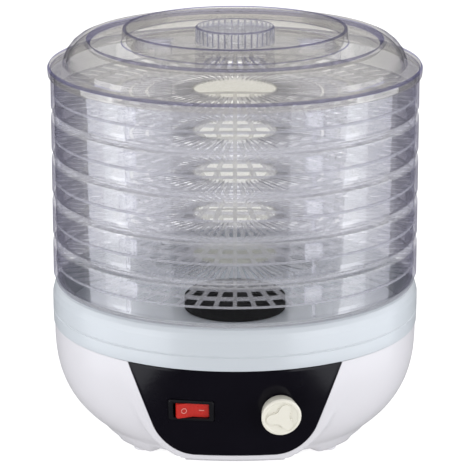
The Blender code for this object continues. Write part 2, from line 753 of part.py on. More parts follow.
def tray_wall():
    """One tray's plain round wall, its ledge for the mesh floor, and six posts inside it that
    carry the next tray."""
    top = TRAY_PITCH - GAP
    outer, inner = TRAY_R, TRAY_R - TRAY_WALL
    ledge = TRAY_FLOOR_UNDER - GAP
    profile = [(inner, top), (outer - 0.0006, top), (outer, top - 0.0020), (outer, 0.0056)]
    profile += [(outer - 0.0016, 0), (0.1182, 0), (0.1182, -0.0028), (0.1170, -0.0028)]
    profile += [(0.1170, 0.0014), (0.1190, 0.0040), (0.1212, ledge), (inner, ledge)]
    wall = turned("tray_wall", profile, CLEAR, steps=TRAY_SIDES)
    foot = TRAY_FLOOR_UNDER + TRAY_FLOOR_THICK + GAP
    head = top - 0.0040
    reach = inner + GAP - POST_DEPTH / 2
    for i in range(POST_COUNT):
        turn = Matrix.Rotation(POST_FIRST + 2 * math.pi * i / POST_COUNT, 4, "Z")
        centre = turn @ Vector((0, -reach, (foot + head) / 2))
        join(wall, box("post", (POST_WIDTH, POST_DEPTH, head - foot), centre, None, turn))
    return wall


def tray_floor():
    """The mesh floor: a solid hub, and two rings of openings between ribs."""
    low, high = TRAY_FLOOR_UNDER, TRAY_FLOOR_UNDER + TRAY_FLOOR_THICK
    openings = wedges(0.0300, 0.0720, 8, 0.0050, steps=1)
    openings += wedges(0.0770, 0.1130, 12, 0.0050, steps=1)
    rim = circle(TRAY_R - TRAY_WALL - 2 * GAP, TRAY_SIDES)
    return plate("tray_floor", [rim, *openings], low, high, CLEAR)


def trays():
    pieces = {"tray_{}": tray_wall(), "tray_{}_floor": tray_floor()}
    for pattern, first in pieces.items():
        for i in range(TRAY_COUNT):
            name = pattern.format(i + 1)
            piece = first if i == 0 else link(bpy.data.objects.new(name, first.data))
            piece.name = name
            piece.location = (0, 0, STACK_Z + i * TRAY_PITCH)


def vent_slots():
    """The outlines of the vent: four groups of six radial slots."""
    outlines = []
    for quarter in range(4):
        for step in range(6):
            turn = math.pi / 2 * quarter + math.radians(6.5) * (step - 2.5)
            outlines.append(wedge(0.0440, 0.0680, turn, math.radians(1.9), steps=1))
    return outlines


def lid():
    """The lid's dome and rim, with a ledge inside them that carries its flat top."""
    wall, under = LID_WALL, LID_FLOOR_Z - LID_WALL
    seat, ledge = LID_PLATE_R + GAP, under - GAP
    skirt_r = TRAY_R + GAP
    outside = [(seat, LID_FLOOR_Z), (0.1005, LID_CREST_Z), (0.1030, LID_CREST_Z)]
    outside += [(0.1100, 0.2712), (0.1150, 0.2650), (0.1165, LID_RIM_Z), (LID_R, LID_RIM_Z)]
    outside += [(LID_R - 0.0004, LID_SKIRT_Z)]
    inside = [(skirt_r, LID_SKIRT_Z), (skirt_r, LID_RIM_Z - wall), (0.1143, LID_RIM_Z - wall)]
    inside += [(0.1126, 0.2642), (0.1085, 0.2694), (0.1020, LID_CREST_Z - wall)]
    inside += [(0.1003, ledge - 0.0016), (seat - 0.0020, ledge - 0.0016), (seat - 0.0020, ledge)]
    turned("lid", [*outside, *inside, (seat, ledge)], CLEAR, steps=TRAY_SIDES)
    outlines = [circle(LID_PLATE_R, TRAY_SIDES), circle(0.0062, 16), *vent_slots()]
    plate("lid_plate", outlines, under, LID_FLOOR_Z, CLEAR)
    collar = ring_profile(COLLAR_R - COLLAR_WALL, COLLAR_R, LID_FLOOR_Z + GAP, COLLAR_TOP_Z)
    turned("lid_collar", collar, CLEAR, steps=TRAY_SIDES)


def vent():
    """The knob over the lid and the shutter under it, which turn together."""
    wall, stem = 0.0020, 0.0057
    low, top = LID_FLOOR_Z + GAP, VENT_KNOB_TOP_Z
    under = LID_FLOOR_Z - LID_WALL - GAP
    knob = [(0, top), (VENT_KNOB_R - 0.0018, top), (VENT_KNOB_R, top - 0.0012)]
    knob += [(VENT_KNOB_R, low), (VENT_KNOB_R - wall, low), (VENT_KNOB_R - wall, top - wall)]
    knob += [(stem, top - wall), (stem, under), (0, under)]
    turned("vent_knob", knob, CLEAR, steps=28, closed=False)
    shutter_top = under - GAP
    plate("vent_shutter", [circle(0.0705, TRAY_SIDES), *vent_slots()],
          shutter_top - 0.0014, shutter_top, CLEAR)


lower_housing()
control_panel()
switch()
thermostat()
base_ring()
deck()
outlet_cap()
heater()
motor()
fan()
bottom_cover()
feet()
cord_gland()
leads()
trays()
lid()
vent()
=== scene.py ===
"""The looks of a round food dehydrator: clear trays and lid on a white base with a black panel.

Metres, +Z up, front at -Y, in the frame of the CAD part.
"""

import math

import bmesh
import bpy
from mathutils import Euler, Matrix, Vector


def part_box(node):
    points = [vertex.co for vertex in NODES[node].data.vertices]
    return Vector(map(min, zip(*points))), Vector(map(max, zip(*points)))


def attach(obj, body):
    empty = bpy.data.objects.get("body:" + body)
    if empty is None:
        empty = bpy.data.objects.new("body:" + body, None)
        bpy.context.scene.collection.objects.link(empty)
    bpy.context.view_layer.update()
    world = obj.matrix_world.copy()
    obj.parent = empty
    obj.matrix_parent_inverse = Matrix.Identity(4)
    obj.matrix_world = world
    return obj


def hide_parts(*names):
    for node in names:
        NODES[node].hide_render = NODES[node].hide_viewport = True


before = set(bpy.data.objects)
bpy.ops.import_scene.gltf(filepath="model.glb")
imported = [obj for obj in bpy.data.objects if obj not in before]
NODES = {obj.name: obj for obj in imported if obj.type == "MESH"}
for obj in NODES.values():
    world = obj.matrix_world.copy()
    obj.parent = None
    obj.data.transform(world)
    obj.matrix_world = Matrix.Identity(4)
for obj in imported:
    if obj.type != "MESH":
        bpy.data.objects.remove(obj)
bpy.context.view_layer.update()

GAP = 0.0003


def low(node):
    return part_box(node)[0]


def high(node):
    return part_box(node)[1]


# ---- mesh tools ----------------------------------------------------------------------------


def loose(name, mesh):
    """A new object that rides no body yet."""
    obj = bpy.data.objects.new(name, mesh)
    bpy.context.scene.collection.objects.link(obj)
    return obj


def dress(mesh, look):
    mesh.materials.clear()
    mesh.materials.append(look)


def link(name, mesh, look, body):
    """A new object with one finish, riding this body."""
    obj = loose(name, mesh)
    dress(mesh, look)
    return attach(obj, body)


def shade(mesh, angle=32):
    mesh.shade_smooth()
    mesh.set_sharp_from_angle(angle=math.radians(angle))
    return mesh


def mesh_of(name, bm, angle=32):
    bmesh.ops.recalc_face_normals(bm, faces=bm.faces)
    mesh = bpy.data.meshes.new(name)
    bm.to_mesh(mesh)
    bm.free()
    return shade(mesh, angle)


def filleted(points, radius, steps=3, closed=True):
    """The outline with each corner rounded; a corner in a short edge gets a smaller round."""
    made = []
    count = len(points)
    for i, point in enumerate(points):
        here = Vector(point)
        if not closed and i in (0, count - 1):
            made.append(here)
            continue
        before = Vector(points[i - 1]) - here
        after = Vector(points[(i + 1) % count]) - here
        bend = before.angle(after, 0.0)
        reach = min(before.length, after.length) * 0.45
        setback = min(reach, radius / max(math.tan(bend / 2), 0.05))
        if bend > math.radians(172) or setback < 1e-6:
            made.append(here)
            continue
        start = here + before.normalized() * setback
        end = here + after.normalized() * setback
        for step in range(steps + 1):
            t = step / steps
            made.append(start.lerp(here, t).lerp(here.lerp(end, t), t))
    return made


def turned(name, profile, segments=144, radius=None):
    """A solid or shell of revolution round Z from a closed (r, z) outline. radius(angle, r, z)
    may change how far out a point lies."""
    bm = bmesh.new()
    rings = []
    for r, z in profile:
        if r < 1e-6:
            rings.append([bm.verts.new((0, 0, z))])
            continue
        ring = []
        for i in range(segments):
            a = 2 * math.pi * i / segments
            out = radius(a, r, z) if radius else r
            ring.append(bm.verts.new((out * math.sin(a), -out * math.cos(a), z)))
        rings.append(ring)
    for one, two in zip(rings, rings[1:] + rings[:1]):
        if len(one) == 1 and len(two) == 1:
            continue
        for i in range(segments):
            j = (i + 1) % segments
            corners = [one[i % len(one)], one[j % len(one)], two[j % len(two)], two[i % len(two)]]
            bm.faces.new(list(dict.fromkeys(corners)))
    return mesh_of(name, bm)


def moved(mesh, matrix):
    mesh.transform(matrix)
    return mesh


def joined(name, *meshes):
    bm = bmesh.new()
    for mesh in meshes:
        bm.from_mesh(mesh)
    return mesh_of(name, bm)


def prism(name, outline, low_z, high_z, bevel=0.0, segments=2):
    """A flat plate from one outline, with rounded edges."""
    bm = bmesh.new()
    face = bm.faces.new([bm.verts.new((x, y, low_z)) for x, y in outline])
    lifted = bmesh.ops.extrude_face_region(bm, geom=[face])["geom"]
    for vert in lifted:
        if isinstance(vert, bmesh.types.BMVert):
            vert.co.z = high_z
    if bevel:
        flat = [e for e in bm.edges if abs(e.verts[0].co.z - e.verts[1].co.z) < 1e-7]
        bmesh.ops.bevel(bm, geom=flat, offset=bevel, segments=segments, affect="EDGES",
                        clamp_overlap=True)
    return mesh_of(name, bm)


def rounded_rectangle(width, height, corner, steps=5):
    outline = []
    for cx, cy, start in ((1, 1, 0), (-1, 1, 90), (-1, -1, 180), (1, -1, 270)):
        for i in range(steps + 1):
            a = math.radians(start + 90 * i / steps)
            outline.append((cx * (width / 2 - corner) + corner * math.cos(a),
                            cy * (height / 2 - corner) + corner * math.sin(a)))
    return outline


def circle(radius, count):
    turns = [2 * math.pi * i / count for i in range(count)]
    return [(radius * math.cos(a), radius * math.sin(a)) for a in turns]


def cut(obj, cutter):
    """Takes the cutter out of the object, and removes the cutter."""
    modifier = obj.modifiers.new("Cut", "BOOLEAN")
    modifier.operation = "DIFFERENCE"
    modifier.solver = "EXACT"
    modifier.object = cutter
    apply_modifiers(obj)
    bpy.data.objects.remove(cutter, do_unlink=True)


def apply_modifiers(obj):
    """Swaps the object's mesh for what its modifiers make of it."""
    graph = bpy.context.evaluated_depsgraph_get()
    bpy.context.view_layer.update()
    made = bpy.data.meshes.new_from_object(obj.evaluated_get(graph))
    obj.modifiers.clear()
    obj.data = made


def soften(obj, width, segments, angle):
    """Adds a modifier that rounds every edge sharper than this angle, in degrees."""
    edge = obj.modifiers.new("Edges", "BEVEL")
    edge.width = width
    edge.segments = segments
    edge.limit_method = "ANGLE"
    edge.angle_limit = math.radians(angle)


def radial_slots(turns, size, corner, reach, low_z, high_z):
    """A cutter of round-ended slots along radii: size is (width, length), and reach is how far
    out their middles are."""
    cutters = []
    for turn in turns:
        slot_mesh = prism("slot", rounded_rectangle(*size, corner), low_z, high_z)
        place = Matrix.Rotation(turn, 4, "Z") @ Matrix.Translation((0, -reach, 0))
        cutters.append(moved(slot_mesh, place))
    return loose("slots", joined("slots", *cutters))


def paint(mesh, look, chosen):
    """Gives the faces that chosen(radius, height, normal) picks a finish of their own."""
    slot = len(mesh.materials)
    mesh.materials.append(look)
    for face in mesh.polygons:
        if chosen(math.hypot(face.center.x, face.center.y), face.center.z, face.normal):
            face.material_index = slot


def blend(start, end, value):
    """A smooth step: 0 at start, 1 at end."""
    t = min(max((value - start) / (end - start), 0.0), 1.0)
    return t * t * (3 - 2 * t)


# ---- materials -----------------------------------------------------------------------------


class Look:
    """A node material under construction."""

    def __init__(self, name):
        self.material = bpy.data.materials.new(name)
        self.material.use_nodes = True
        self.tree = self.material.node_tree
        self.shader = self.tree.nodes["Principled BSDF"]
        self.output = self.tree.nodes["Material Output"]

    def node(self, kind, settings=None, **inputs):
        made = self.tree.nodes.new(kind)
        for key, value in (settings or {}).items():
            setattr(made, key, value)
        for key, value in inputs.items():
            self.put(made.inputs[key.replace("_", " ")], value)
        return made

    def put(self, socket, value):
        if isinstance(value, bpy.types.NodeSocket):
            self.tree.links.new(value, socket)
        elif socket.type == "RGBA":
            socket.default_value = (*value[:3], 1)
        else:
            socket.default_value = value

    def noise(self, scale, detail):
        where = self.node("ShaderNodeTexCoord").outputs["Object"]
        made = self.node("ShaderNodeTexNoise", Vector=where, Scale=scale, Detail=detail,
                         Roughness=0.55)
        return made.outputs["Fac"]

    def ramp(self, value, low_at, high_at, low_value, high_value):
        made = self.node("ShaderNodeMapRange", Value=value, From_Min=low_at, From_Max=high_at,
                         To_Min=low_value, To_Max=high_value)
        return made.outputs["Result"]

    def mix(self, factor, one, two):
        made = self.node("ShaderNodeMix", {"data_type": "RGBA"})
        self.put(made.inputs["Factor"], factor)
        self.put(made.inputs["A"], one)
        self.put(made.inputs["B"], two)
        return made.outputs["Result"]

    def bump(self, height, distance, strength=1.0):
        made = self.node("ShaderNodeBump", Height=height, Distance=distance, Strength=strength)
        return made.outputs["Normal"]


def shifted(colour, share):
    return tuple(min(max(c * share, 0.0), 1.0) for c in colour)


def moulded(name, colour, roughness, grain=900.0, depth=0.00003, spread=0.04, metallic=0.0,
            coat=0.0, specular=0.5, uneven=0.17):
    """Moulded plastic or plain metal: cloudy colour, a fine surface grain and uneven gloss."""
    look = Look(name)
    cloud = look.noise(26.0, 4.0)
    tint = look.ramp(cloud, 0.32, 0.68, 0.0, 1.0)
    look.put(look.shader.inputs["Base Color"],
             look.mix(tint, shifted(colour, 1 - spread), shifted(colour, 1 + spread)))
    patch = look.noise(70.0, 5.0)
    look.put(look.shader.inputs["Roughness"],
             look.ramp(patch, 0.3, 0.7, roughness * (1 - uneven), roughness * (1 + uneven)))
    look.put(look.shader.inputs["Normal"], look.bump(look.noise(grain, 3.0), depth))
    look.shader.inputs["Metallic"].default_value = metallic
    look.shader.inputs["Coat Weight"].default_value = coat
    look.shader.inputs["Specular IOR Level"].default_value = specular
    look.shader.inputs["Coat Roughness"].default_value = 0.06
    look.material.diffuse_color = (*colour, 1)
    return look.material


def clear_plastic(name, face, edge, body, milk, edge_from=0.6, side=None, hub=None, gloss=0.4):
    """Clear moulded styrene. Light passes with a tint that deepens where the wall is seen
    edge-on; a share of it, milk, scatters in the plastic. The upright faces of a thin moulding
    may have their own darker tint, side: painted shade standing in for the light they bend
    away. A thick hub is its radius, milk and colour. Light on its way to a lamp is held back
    less, as clear plastic guides it."""
    look = Look(name)
    facing = look.node("ShaderNodeLayerWeight", Blend=0.5).outputs["Facing"]
    ripple = look.bump(look.noise(140.0, 3.0), 0.0001, 0.35)
    through = look.node("ShaderNodeBsdfTransparent")
    tint = look.mix(look.ramp(facing, edge_from, 1.0, 0.0, 1.0), face, edge)
    clouded = look.ramp(look.noise(55.0, 5.0), 0.3, 0.7, milk * 0.8, milk * 1.2)
    cloud = look.ramp(look.noise(30.0, 4.0), 0.35, 0.65, 0.0, 1.0)
    colour = look.mix(cloud, shifted(body, 0.95), shifted(body, 1.03))
    # painted shade: faces that stand upright, by their normal, take the darker side tint
    if side:
        normal = look.node("ShaderNodeNewGeometry").outputs["Normal"]
        upward = look.node("ShaderNodeSeparateXYZ", Vector=normal).outputs["Z"]
        size = look.node("ShaderNodeMath", {"operation": "ABSOLUTE"})
        look.put(size.inputs[0], upward)
        tint = look.mix(look.ramp(size.outputs["Value"], 0.35, 0.75, 1.0, 0.0), tint, side)
    if hub:
        hub_r, hub_milk, hub_colour = hub
        where = look.node("ShaderNodeTexCoord").outputs["Object"]
        flat = look.node("ShaderNodeVectorMath", {"operation": "MULTIPLY"})
        look.put(flat.inputs[0], where)
        flat.inputs[1].default_value = (1, 1, 0)
        reach = look.node("ShaderNodeVectorMath", {"operation": "LENGTH"})
        look.put(reach.inputs[0], flat.outputs["Vector"])
        clouded = look.ramp(reach.outputs["Value"], hub_r, hub_r + 0.002, hub_milk, milk)
        outside = look.ramp(reach.outputs["Value"], hub_r, hub_r + 0.002, 0.0, 1.0)
        colour = look.mix(outside, hub_colour, colour)
    look.put(through.inputs["Color"], tint)
    scatter = look.shader
    look.put(scatter.inputs["Base Color"], colour)
    scatter.inputs["Roughness"].default_value = 0.4
    look.put(scatter.inputs["Normal"], ripple)
    shine = look.node("ShaderNodeBsdfGlossy")
    shine.inputs["Roughness"].default_value = 0.05
    look.put(shine.inputs["Normal"], ripple)
    fresnel = look.node("ShaderNodeFresnel", IOR=1.50)
    look.put(fresnel.inputs["Normal"], ripple)
    inner = look.node("ShaderNodeMixShader", Fac=clouded)
    look.put(inner.inputs[1], through.outputs["BSDF"])
    look.put(inner.inputs[2], scatter.outputs["BSDF"])
    outer = look.node("ShaderNodeMixShader",
                      Fac=look.ramp(fresnel.outputs["Fac"], 0.0, 1.0, 0.0, gloss))
    look.put(outer.inputs[1], inner.outputs["Shader"])
    look.put(outer.inputs[2], shine.outputs["BSDF"])
    guided = look.node("ShaderNodeBsdfTransparent", Color=(0.985, 0.985, 0.985))
    to_lamp = look.node("ShaderNodeLightPath").outputs["Is Shadow Ray"]
    last = look.node("ShaderNodeMixShader", Fac=look.ramp(to_lamp, 0.0, 1.0, 0.0, 0.8))
    look.put(last.inputs[1], outer.outputs["Shader"])
    look.put(last.inputs[2], guided.outputs["BSDF"])
    look.put(look.output.inputs["Surface"], last.outputs["Shader"])
    look.material.diffuse_color = (*face, 0.4)
    return look.material


CLEAR = clear_plastic("clear_tray_plastic", (0.974, 0.974, 0.980), (0.66, 0.65, 0.73),
                      (0.80, 0.80, 0.82), 0.004, edge_from=0.28)
# painted highlight: a lighter, milkier copy of the tray plastic for the wall's foot and rim
SEAM_HIGHLIGHT = clear_plastic("clear_tray_edge_painted_highlight", (0.988, 0.988, 0.993), (0.96, 0.96, 0.99),
                     (0.90, 0.90, 0.93), 0.08, edge_from=0.5)
# painted highlight: a milkier, lighter copy of the tray plastic, so the posts show as light
# streaks
POST_HIGHLIGHT = clear_plastic("clear_post_painted_highlight", (0.970, 0.970, 0.985), (0.66, 0.66, 0.78),
                     (0.95, 0.95, 0.98), 0.22, edge_from=0.4)
HUB_LOOK = (0.0275, 0.23, (0.80, 0.785, 0.64))
# painted light and shade: a milkier copy of the tray plastic so the bars catch light, upright
# faces darker
GRILLE_LIGHT_AND_SHADE = clear_plastic("clear_grille_painted_light_and_shade", (0.952, 0.951, 0.946), (0.90, 0.89, 0.88),
                       (0.60, 0.60, 0.63), 0.28, edge_from=0.8, side=(0.82, 0.82, 0.85),
                       hub=HUB_LOOK, gloss=0.03)
LID = clear_plastic("clear_lid_plastic", (0.925, 0.916, 0.896), (0.48, 0.47, 0.57),
                    (0.80, 0.79, 0.77), 0.012, edge_from=0.72)
LID_FLAT = clear_plastic("clear_lid_flat", (0.966, 0.961, 0.948), (0.86, 0.85, 0.86),
                         (0.84, 0.83, 0.80), 0.03, edge_from=0.72)
# painted shade: a dark bluish copy of the clear plastic for lines along lid and knob edges
LID_EDGE_SHADE = clear_plastic("clear_lid_edge_painted_shade", (0.55, 0.54, 0.67), (0.38, 0.37, 0.54),
                         (0.50, 0.50, 0.62), 0.03, edge_from=0.3, gloss=0.08)
# painted shade: turns dark bluish where the slot walls are seen edge-on
SLOT_SHADE = clear_plastic("clear_slot_edge_painted_shade", (0.93, 0.93, 0.96), (0.30, 0.30, 0.52),
                     (0.60, 0.60, 0.72), 0.01, edge_from=0.5, gloss=0.01)
# painted shade: a dark copy for the valleys between the knob's ribs
RIB_SHADE = clear_plastic("clear_knob_rib_painted_shade", (0.56, 0.56, 0.68), (0.50, 0.50, 0.66),
                    (0.70, 0.70, 0.78), 0.04, edge_from=0.4, gloss=0.05)
KNOB = clear_plastic("clear_knob_plastic", (0.970, 0.970, 0.974), (0.86, 0.86, 0.90),
                     (0.88, 0.88, 0.89), 0.08, edge_from=0.4)
WHITE = moulded("white_housing_plastic", (0.57, 0.56, 0.585), 0.34, coat=0.1, spread=0.004,
                uneven=0.04)
PALE = moulded("pale_ring_plastic", (0.475, 0.505, 0.535), 0.30, coat=0.15, spread=0.004,
               uneven=0.04)
# painted light: the housing's white moulding, made lighter here as the trays shade the deck
DECK_PAINTED_LIGHT = moulded("deck_white_painted_lighter", (0.76, 0.80, 0.84), 0.40, spread=0.01, uneven=0.06)
BLACK = moulded("black_panel_plastic", (0.004, 0.0035, 0.006), 0.16, grain=500.0, spread=0.10,
                specular=0.15)
MATT_BLACK = moulded("black_cap_plastic", (0.004, 0.004, 0.005), 0.6, spread=0.12, specular=0.04)
BEZEL = moulded("black_bezel_plastic", (0.007, 0.007, 0.009), 0.30, spread=0.10, specular=0.3)
RED = moulded("red_rocker_plastic", (0.47, 0.016, 0.010), 0.28, spread=0.08, coat=0.2)
MARK = moulded("rocker_mark_print", (0.70, 0.30, 0.26), 0.45, spread=0.03)
IVORY = moulded("ivory_dial_plastic", (0.66, 0.64, 0.56), 0.34, spread=0.02, coat=0.15)
FOOT_RUBBER = moulded("white_foot_rubber", (0.62, 0.61, 0.63), 0.7, grain=1600.0, depth=0.00008)
RUBBER = moulded("black_rubber", (0.030, 0.030, 0.032), 0.75, grain=1600.0, depth=0.00008,
                 spread=0.15)
STEEL = moulded("zinc_steel", (0.56, 0.56, 0.58), 0.34, metallic=1.0, spread=0.08)
LAMINATION = moulded("motor_laminations", (0.34, 0.34, 0.36), 0.48, metallic=0.8, spread=0.15)
COPPER = moulded("copper_winding", (0.70, 0.36, 0.20), 0.35, metallic=1.0, spread=0.10)
BRASS = moulded("brass", (0.72, 0.56, 0.27), 0.32, metallic=1.0, spread=0.06)
MICA = moulded("mica_board", (0.50, 0.43, 0.33), 0.60, grain=260.0, depth=0.0001, spread=0.16)
NYLON = moulded("nylon", (0.78, 0.77, 0.72), 0.48, spread=0.03)
SLEEVE = moulded("lead_sleeve", (0.72, 0.71, 0.66), 0.55, grain=2200.0, depth=0.00008, spread=0.06)

# CAD nodes that stay in view, with their finishes
FINISHES = {
    WHITE: ("bottom_cover",),
    RUBBER: ("cord_gland", "lead_entry"),
    BLACK: ("switch_body",),
    STEEL: ("cover_screw", "motor_screw", "motor_bracket", "motor_hanger", "motor_shaft",
            "thermostat_nut", "heater_coil", "heater_duct", "thermal_fuse"),
    LAMINATION: ("motor_stator", "motor_rotor"),
    COPPER: ("motor_winding",),
    BRASS: ("bearing", "thermostat_shaft"),
    MICA: ("mica_board", "thermostat_body"),
    NYLON: ("terminal_block", "fan"),
    SLEEVE: ("lead_supply", "lead_switched", "lead_heater", "lead_neutral"),
}


def finish_cad_nodes():
    """Gives each CAD node its finish, and softens its edges."""
    for look, starts in FINISHES.items():
        for name, obj in NODES.items():
            if name.startswith(starts):
                dress(obj.data, look)
                if name.startswith("lead") or name == "heater_coil":
                    continue
                soften(obj, 0.0002, 2, 40)


# ---- trays ---------------------------------------------------------------------------------

TRAYS = [f"tray_{i}" for i in range(1, 6)]
TRAY_Z = low("tray_1").z + 0.0028
TRAY_PITCH = low("tray_2").z - low("tray_1").z
TRAY_R = 0.1250
TRAY_WALL = 0.0022
FLOOR_UNDER = 0.0130
FLOOR_THICK = 0.0017
SPOKES = 60
SPOKE_WIDTH = 0.0027
HUB_R = 0.0280
RING_BARS = ((0.0590, 0.0610), (0.0700, 0.0722), (0.0800, 0.0848), (0.1013, 0.1054))
GRILLE_R = TRAY_R - TRAY_WALL + 0.0002
# the step under the wall, which sits inside the tray or ring below
STEP_OUTER_R, STEP_INNER_R = 0.1182, 0.1172
# how much of the wall gets the seam's painted highlight, above its foot and below its rim
SEAM_FOOT, SEAM_RIM = 0.0034, 0.0022
POST_WIDTH = 0.0125
POST_COUNT = 6
POST_FIRST = math.radians(-35)


def tray_wall():
    """The wall with its rolled top edge, the step that seats it on the tray below, and posts."""
    top = TRAY_PITCH - GAP
    inner = TRAY_R - TRAY_WALL
    outline = [(inner, top - 0.0016), (inner + 0.0006, top), (TRAY_R - 0.0004, top)]
    outline += [(TRAY_R, top - 0.0018), (TRAY_R, 0.0058), (TRAY_R - 0.0009, 0.0038)]
    outline += [(TRAY_R - 0.0016, 0.0), (STEP_OUTER_R, 0.0), (STEP_OUTER_R, -0.0016)]
    outline += [(STEP_INNER_R, -0.0016), (STEP_INNER_R, 0.0008), (0.1206, 0.0010)]
    outline += [(inner - 0.0004, 0.0026)]
    wall = turned("wall", filleted(outline, 0.0005), segments=160)
    posts = []
    floor_top = FLOOR_UNDER + FLOOR_THICK
    for i in range(POST_COUNT):
        turn = Matrix.Rotation(POST_FIRST + 2 * math.pi * i / POST_COUNT, 4, "Z")
        for low_z, high_z, width, depth in (
            (floor_top - 0.0006, top - 0.0042, POST_WIDTH, 0.0032),
            (0.0040, FLOOR_UNDER + 0.0006, 0.0016, 0.0034),
        ):
            outline = rounded_rectangle(width, depth, 0.0006, steps=3)
            post = prism("post", outline, low_z, high_z, bevel=0.0005)
            at = Matrix.Translation((0, -(inner + 0.0004 - depth / 2), 0))
            posts.append(moved(post, turn @ at))
    return joined("tray_wall", wall, *posts)


def grille():
    """The mesh floor: spokes that merge into a solid hub, and ring bars between them."""
    edges = [HUB_R]
    for bar in RING_BARS:
        edges += bar
    edges += [GRILLE_R]
    bm = bmesh.new()
    rows = []
    for radius in edges:
        half = min(math.asin(SPOKE_WIDTH / 2 / radius), math.pi / SPOKES * 0.985)
        row = []
        for i in range(SPOKES):
            a = 2 * math.pi * i / SPOKES
            middle = a + math.pi / SPOKES
            for turn in (a - half, a + half, middle):
                row.append(bm.verts.new((radius * math.sin(turn), -radius * math.cos(turn), 0)))
        rows.append(row)
    count = len(rows[0])
    for k, (one, two) in enumerate(zip(rows, rows[1:])):
        solid = k % 2 == 1
        for i in range(0, count, 3):
            bm.faces.new((one[i], one[i + 1], two[i + 1], two[i]))
            if solid:
                for j in (i + 1, i + 2):
                    n = (j + 1) % count
                    bm.faces.new((one[j], one[n], two[n], two[j]))
    rim = [bm.verts.new((v.co.x * 1.002, v.co.y * 1.002, 0)) for v in rows[-1]]
    for i in range(count):
        j = (i + 1) % count
        bm.faces.new((rows[-1][i], rows[-1][j], rim[j], rim[i]))
    centre = bm.verts.new((0, 0, 0))
    for i in range(count):
        bm.faces.new((centre, rows[0][i], rows[0][(i + 1) % count]))
    mesh = bpy.data.meshes.new("grille_plan")
    bm.to_mesh(mesh)
    bm.free()
    obj = loose("grille_plan", mesh)
    thick = obj.modifiers.new("Thickness", "SOLIDIFY")
    thick.thickness = FLOOR_THICK
    thick.offset = 1.0
    soften(obj, 0.0004, 2, 50)
    apply_modifiers(obj)
    lowest = min(v.co.z for v in obj.data.vertices)
    made = moved(obj.data.copy(), Matrix.Translation((0, 0, FLOOR_UNDER - lowest)))
    bpy.data.objects.remove(obj, do_unlink=True)
    bm = bmesh.new()
    bm.from_mesh(made)
    return mesh_of("tray_grille", bm, 40)


def trays():
    wall, floor = tray_wall(), grille()
    for i, name in enumerate(TRAYS):
        lift = Matrix.Translation((0, 0, TRAY_Z + i * TRAY_PITCH))
        for part, mesh, look in (("wall", wall, CLEAR), ("grille", floor, GRILLE_LIGHT_AND_SHADE)):
            obj = link(f"{name}_{part}_clear", moved(mesh.copy(), lift), look, name)
            if part == "wall":
                foot = lift.translation.z + SEAM_FOOT
                rim = lift.translation.z + TRAY_PITCH - SEAM_RIM
                inner = TRAY_R - TRAY_WALL - 0.0004
                # painted highlight: the wall's foot and rim take the lighter seam finish
                paint(obj.data, SEAM_HIGHLIGHT, lambda r, z, n: z < foot or z > rim)
                # painted highlight: the posts take the milkier, lighter post finish
                paint(obj.data, POST_HIGHLIGHT, lambda r, z, n: r < inner and foot < z < rim)
                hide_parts(name)
            else:
                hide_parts(f"{name}_floor")


# ---- lid -----------------------------------------------------------------------------------

LID_R = high("lid").x
LID_SKIRT_Z = low("lid").z
COLLAR_TOP_Z = high("lid_collar").z
LID_WALL = 0.0020
LID_HOLE_R = 0.0062
LID_RIM_Z = 0.2577
LID_CREST_Z = 0.2752
LID_FLOOR_Z = 0.2717
COLLAR_R = 0.0760
SLOT_PITCH = math.radians(6.5)
SLOT_SIZE = (0.0036, 0.0240)
SLOT_CORNER = 0.0016
SLOT_R = 0.0560
KNOB_R = high("vent_knob").x
KNOB_TOP_Z = high("vent_knob").z


def vent_slots(low_z, high_z):
    """The cutter for the vent: four groups of six slots."""
    turns = [math.pi / 2 * quarter + SLOT_PITCH * (step - 2.5)
             for quarter in range(4) for step in range(6)]
    return radial_slots(turns, SLOT_SIZE, SLOT_CORNER, SLOT_R, low_z, high_z)


